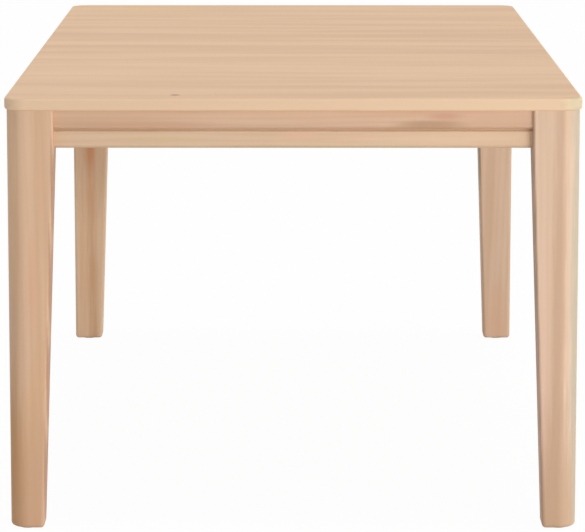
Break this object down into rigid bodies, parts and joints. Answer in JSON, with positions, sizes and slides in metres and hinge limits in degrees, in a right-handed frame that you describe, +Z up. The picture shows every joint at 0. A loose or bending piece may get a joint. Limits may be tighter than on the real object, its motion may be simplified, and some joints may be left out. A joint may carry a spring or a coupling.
{
  "type": "dining table",
  "caption": "Rectangular solid wood dining table with rounded top corners, legs tapered on their inner faces and a double-board apron with a shadow gap.",
  "frame": {"origin": "on the floor under the middle of the table", "axes": "+X across the width to the right as the pictured end is faced, +Y along the length away from that end, +Z up"},
  "size_m": [1, 2, 0.76],
  "materials": {
    "top_wood": "smooth, clear matt oil; fine straight grain",
    "leg_wood": "smooth, clear matt oil; fine straight grain",
    "upper_board_wood": "smooth, clear matt oil; fine straight grain",
    "lower_board_wood": "smooth, clear matt oil; fine straight grain",
    "inner_wood": "planed, unfinished",
    "dowel_wood": "turned, unfinished",
    "zinc_steel": "bright zinc plating",
    "nylon": "moulded, off-white"
  },
  "bodies": {
    "root": {"tabletop": "top_wood", "leg_front_left": "leg_wood", "leg_front_right": "leg_wood", "leg_back_left": "leg_wood", "leg_back_right": "leg_wood", "upper_rail_front": "upper_board_wood", "upper_rail_back": "upper_board_wood", "upper_rail_left": "upper_board_wood", "upper_rail_right": "upper_board_wood", "lower_rail_front": "lower_board_wood", "lower_rail_back": "lower_board_wood", "lower_rail_left": "lower_board_wood", "lower_rail_right": "lower_board_wood", "corner_block_front_left": "inner_wood", "corner_block_front_right": "inner_wood", "corner_block_back_left": "inner_wood", "corner_block_back_right": "inner_wood", "cross_bearer_front": "inner_wood", "cross_bearer_back": "inner_wood", "rail_dowels": "dowel_wood", "bearer_dowels": "dowel_wood", "hanger_bolts": "zinc_steel", "hanger_washers": "zinc_steel", "hanger_nuts": "zinc_steel", "wood_screws": "zinc_steel", "top_clips": "zinc_steel", "clip_screws": "zinc_steel", "foot_glide_front_left": "nylon", "foot_glide_front_right": "nylon", "foot_glide_back_left": "nylon", "foot_glide_back_right": "nylon", "glide_nails": "zinc_steel"}
  },
  "joints": []
}
